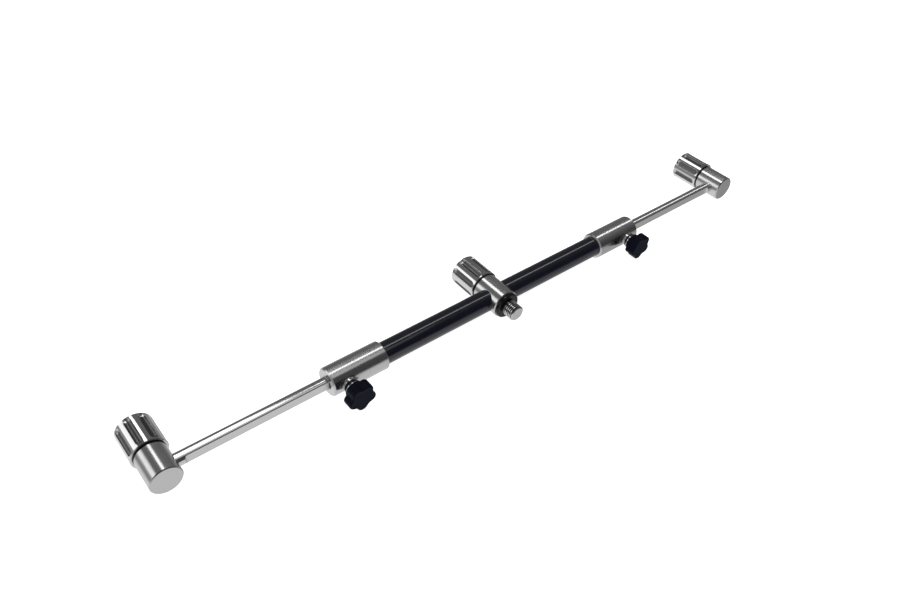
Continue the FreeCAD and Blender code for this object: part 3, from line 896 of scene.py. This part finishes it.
def make_knob(side):
    """The moulded knob: lobes that run into scallops, and a neck behind them."""
    node = "knob_" + side
    low, high = box_mm(node)
    screw = turned_on_y("thumb_screw_" + side)[0]
    reach = np.abs(np.array([low[0], high[0]]) - screw[0]).max()
    radius = max(reach, np.abs(np.array([low[2], high[2]]) - screw[2]).max())
    y0, y1 = low[1], high[1]
    shell = Shell("Y", (screw[0], 0, screw[2]))
    phase = math.radians(KNOB_ANGLE[side])
    t = around(240)

    def star(t):
        wave = (1 - np.cos(KNOB_LOBES * (t - phase))) / 2
        r = radius - KNOB_SCALLOP * wave ** KNOB_SCALLOP_POWER
        return np.stack([r * np.cos(t), r * np.sin(t)], -1)

    edge = star(t)
    run = star(t + NUDGE) - star(t - NUDGE)
    out = np.stack([run[:, 1], -run[:, 0]], -1)
    out /= np.linalg.norm(out, axis=1, keepdims=True)
    back = y1 - KNOB_NECK_LEN
    rim_in, rim_out = -KNOB_ROUND - KNOB_RIM[0], -KNOB_ROUND - KNOB_RIM[1]
    profile, lean, length = outline([
        (rim_in, y0 + KNOB_DISH, KNOB_RIM_ROUND[0]), (rim_out, y0, KNOB_RIM_ROUND[1]),
        (0, y0, KNOB_ROUND), (0, back, KNOB_ROUND), (-KNOB_ROUND - KNOB_BACK, back, 0)])
    rows = edge[None] + profile[:, None, :1] * out[None]
    heights = np.broadcast_to(profile[:, None, 1:], (*rows.shape[:2], 1))
    points = np.concatenate([rows, heights], -1)
    lean_out = lean[:, None, :1] * out[None]
    normals = np.concatenate([lean_out, np.broadcast_to(lean[:, None, 1:], heights.shape)], -1)
    uv = np.stack(np.broadcast_arrays(t[None, :] / TAU, length[:, None]), -1)
    shell.grid(points, normals, uv)
    for row, level, inner_r, way in ((points[0], points[0, 0, 2], 0.0, -1),
                                     (points[-1], back, KNOB_NECK_R, 1)):
        circle = np.stack([inner_r * np.cos(t), inner_r * np.sin(t), 0 * t + level], -1)
        share = np.linspace(0, 1, 6)[:, None, None]
        disc = circle + (row - circle) * share
        shell.grid(disc, np.zeros_like(disc) + (0, 0, way), np.zeros((6, len(t), 2)))
    turn(shell, [
        (KNOB_NECK_R, back, 0), (KNOB_NECK_R, y1, KNOB_NECK_EDGE), (SCREW_R, y1, 0)], t)
    finish_piece(shell, "clamp_knob_" + side, "knob_plastic", "thumbscrew_" + side, node)


for rest_name in RESTS:
    make_collar(rest_name)
    rest_body = "centre" if rest_name == "centre" else "bar_" + rest_name
    make_ring("drag_ring_" + rest_name, "collar_%s_o_ring" % rest_name, "rubber",
              rest_body, SPIGOT_R + RING_GAP, RING_ROUND)
make_hub()
make_stud()
make_ring("stud_locking_ring", "stud_ring", "rubber", "centre",
          STUD_RELIEF[0] + RING_GAP, *STUD_RING_ROUND)
make_tube()
for side_name in SIDES:
    make_head(side_name)
    make_sleeve(side_name)
    make_bar(side_name)
    make_clamp(side_name)
    make_screw(side_name)
    make_ring("screw_ring_" + side_name, "thumb_screw_o_ring_" + side_name, "rubber",
              "thumbscrew_" + side_name, SCREW_R + RING_GAP, RING_ROUND)
    make_knob(side_name)

# the CAD nodes that stay in sight take a finish of their own
SLOT_OF = {
    "bolt": "bolt_steel", "washer": "bolt_steel", "stop_screw": "bolt_steel",
    "bush": "acetal", "pad": "acetal"}
for node_name, node_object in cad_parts.items():
    if node_object.hide_render:
        continue
    for word, slot_name in SLOT_OF.items():
        if word in node_name:
            for holder in node_object.material_slots:
                holder.material = MATERIALS[slot_name]


# ================================ stage ================================================
FLOOR_HALF = 6.0
FLOOR_DROP = 0.0001          # below the object's lowest face
FLOOR_GLOW = 0.8
SOFTBOXES = {                # place, target, size and power of each
    "overhead_softbox": ((0.02, 0.46, 1.2), (0.02, 0.46, 0.0), (0.36, 1.32), 3.1),
    "front_softbox": ((0.2, -0.5, 1.2), (0.2, -0.5, 0.0), (0.8, 0.5), 0.6),
    "right_softbox": ((1.0, 0.22, 1.2), (1.0, 0.22, 0.0), (1.5, 0.18), 2.3),
    "left_softbox": ((-1.13, 0.68, 0.55), (0.0, 0.0, 0.1), (0.9, 0.55), 1.6),
}
# strengths of the world: its walls and table in reflections, its light, and its look
WALLS = {"back": 0.17, "front": 0.07, "left": 0.42}
TABLE = {"front": 0.92, "back": 1.1, "right": 0.4, "rim": 0.25}
DIFFUSE_LIGHT = 0.82
BACKDROP = 1.3
CAMERA_LENS = 31.94                        # in millimetres, for a sensor of this width
CAMERA_SENSOR = 36.0
CAMERA_PLACE = (-0.24865, -0.24701, 0.31788)
CAMERA_TURN = (-41.415, -42.229, 4.118)    # yaw, pitch and roll in degrees


def make_floor():
    """A wide pale floor, lit a little from within and left out of reflections."""
    mesh = bpy.data.meshes.new("studio_floor")
    signs = ((-1, -1), (1, -1), (1, 1), (-1, 1))
    mesh.from_pydata([(FLOOR_HALF * a, FLOOR_HALF * b, 0) for a, b in signs], [], [(0, 1, 2, 3)])
    floor = bpy.data.objects.new("studio_floor", mesh)
    bpy.context.scene.collection.objects.link(floor)
    floor.location.z = -FLOOR_DROP
    material, nodes, links, shader = node_material("studio_floor")
    shader.inputs["Base Color"].default_value = (0.9, 0.9, 0.9, 1)
    shader.inputs["Emission Color"].default_value = (1, 1, 1, 1)
    shader.inputs["Emission Strength"].default_value = FLOOR_GLOW
    shader.inputs["Roughness"].default_value = 0.8
    shader.inputs["Specular IOR Level"].default_value = 0.1
    mesh.materials.append(material)
    floor.visible_glossy = False


def area_light(name, place, target, size, power):
    """A rectangular softbox."""
    light = bpy.data.lights.new(name, "AREA")
    light.shape = "RECTANGLE"
    light.size, light.size_y = size
    light.energy = power
    lamp = bpy.data.objects.new(name, light)
    bpy.context.scene.collection.objects.link(lamp)
    lamp.location = place
    way = Vector(target) - Vector(place)
    lamp.rotation_euler = way.to_track_quat("-Z", "Y").to_euler()
    lamp.visible_camera = False


def make_world():
    """The studio round the object: a pale table, grey walls, a dark side in front.

    Glossy surfaces see that room. Other light and the camera see an even white.
    """
    world = bpy.data.worlds.new("studio")
    bpy.context.scene.world = world
    world.use_nodes = True
    nodes, links = world.node_tree.nodes, world.node_tree.links
    nodes.clear()

    def step(value, low, high):
        """A smooth step from 0 at low to 1 at high."""
        node = nodes.new("ShaderNodeMapRange")
        node.interpolation_type = "SMOOTHSTEP"
        node.inputs["From Min"].default_value = low
        node.inputs["From Max"].default_value = high
        links.new(value, node.inputs["Value"])
        return node.outputs["Result"]

    def between(share, low, high):
        """low where share is 0, high where it is 1."""
        return mixed(nodes, links, share, low, high, "FLOAT")

    place = nodes.new("ShaderNodeTexCoord")
    x, y, z = parts_of(nodes, links, place.outputs["Generated"])
    front, left, down = (calculated(nodes, links, "MULTIPLY", way, -1.0) for way in (y, x, z))
    room = between(step(front, 0.2, 0.7), WALLS["back"], WALLS["front"])
    room = between(step(left, 0.45, 0.8), room, WALLS["left"])
    lean = calculated(nodes, links, "MULTIPLY", step(front, 0.1, 0.6), 0.2)
    near = calculated(nodes, links, "ADD", down, lean)
    lit = between(step(y, -0.4, 0.4), TABLE["front"], TABLE["back"])
    lit = between(step(x, 0.3, 0.85), lit, TABLE["right"])
    table = between(step(near, 0.05, 0.5), TABLE["rim"], lit)
    studio = between(step(down, -0.03, 0.05), room, table)
    paths = nodes.new("ShaderNodeLightPath")
    seen = between(paths.outputs["Is Glossy Ray"], DIFFUSE_LIGHT, studio)
    seen = between(paths.outputs["Is Camera Ray"], seen, BACKDROP)
    background = nodes.new("ShaderNodeBackground")
    output = nodes.new("ShaderNodeOutputWorld")
    links.new(seen, background.inputs["Strength"])
    links.new(background.outputs["Background"], output.inputs["Surface"])


def make_camera():
    """The photograph's view, from above the left front."""
    camera = bpy.data.cameras.new("camera")
    camera.sensor_width = CAMERA_SENSOR
    camera.lens = CAMERA_LENS
    camera.clip_start = 0.01
    yaw, pitch, roll = (math.radians(angle) for angle in CAMERA_TURN)
    level = math.cos(pitch)
    forward = Vector((-math.sin(yaw) * level, math.cos(yaw) * level, math.sin(pitch)))
    right = Vector((math.cos(yaw), math.sin(yaw), 0))
    up = right.cross(forward)
    across = right * math.cos(roll) + up * math.sin(roll)
    upright = up * math.cos(roll) - right * math.sin(roll)
    holder = bpy.data.objects.new("camera", camera)
    bpy.context.scene.collection.objects.link(holder)
    turned = Matrix((across, upright, -forward)).transposed()
    holder.matrix_world = Matrix.Translation(CAMERA_PLACE) @ turned.to_4x4()
    bpy.context.scene.camera = holder


make_floor()
make_world()
make_camera()
for light_name, light_settings in SOFTBOXES.items():
    area_light(light_name, *light_settings)
bpy.context.scene.view_settings.view_transform = "Standard"
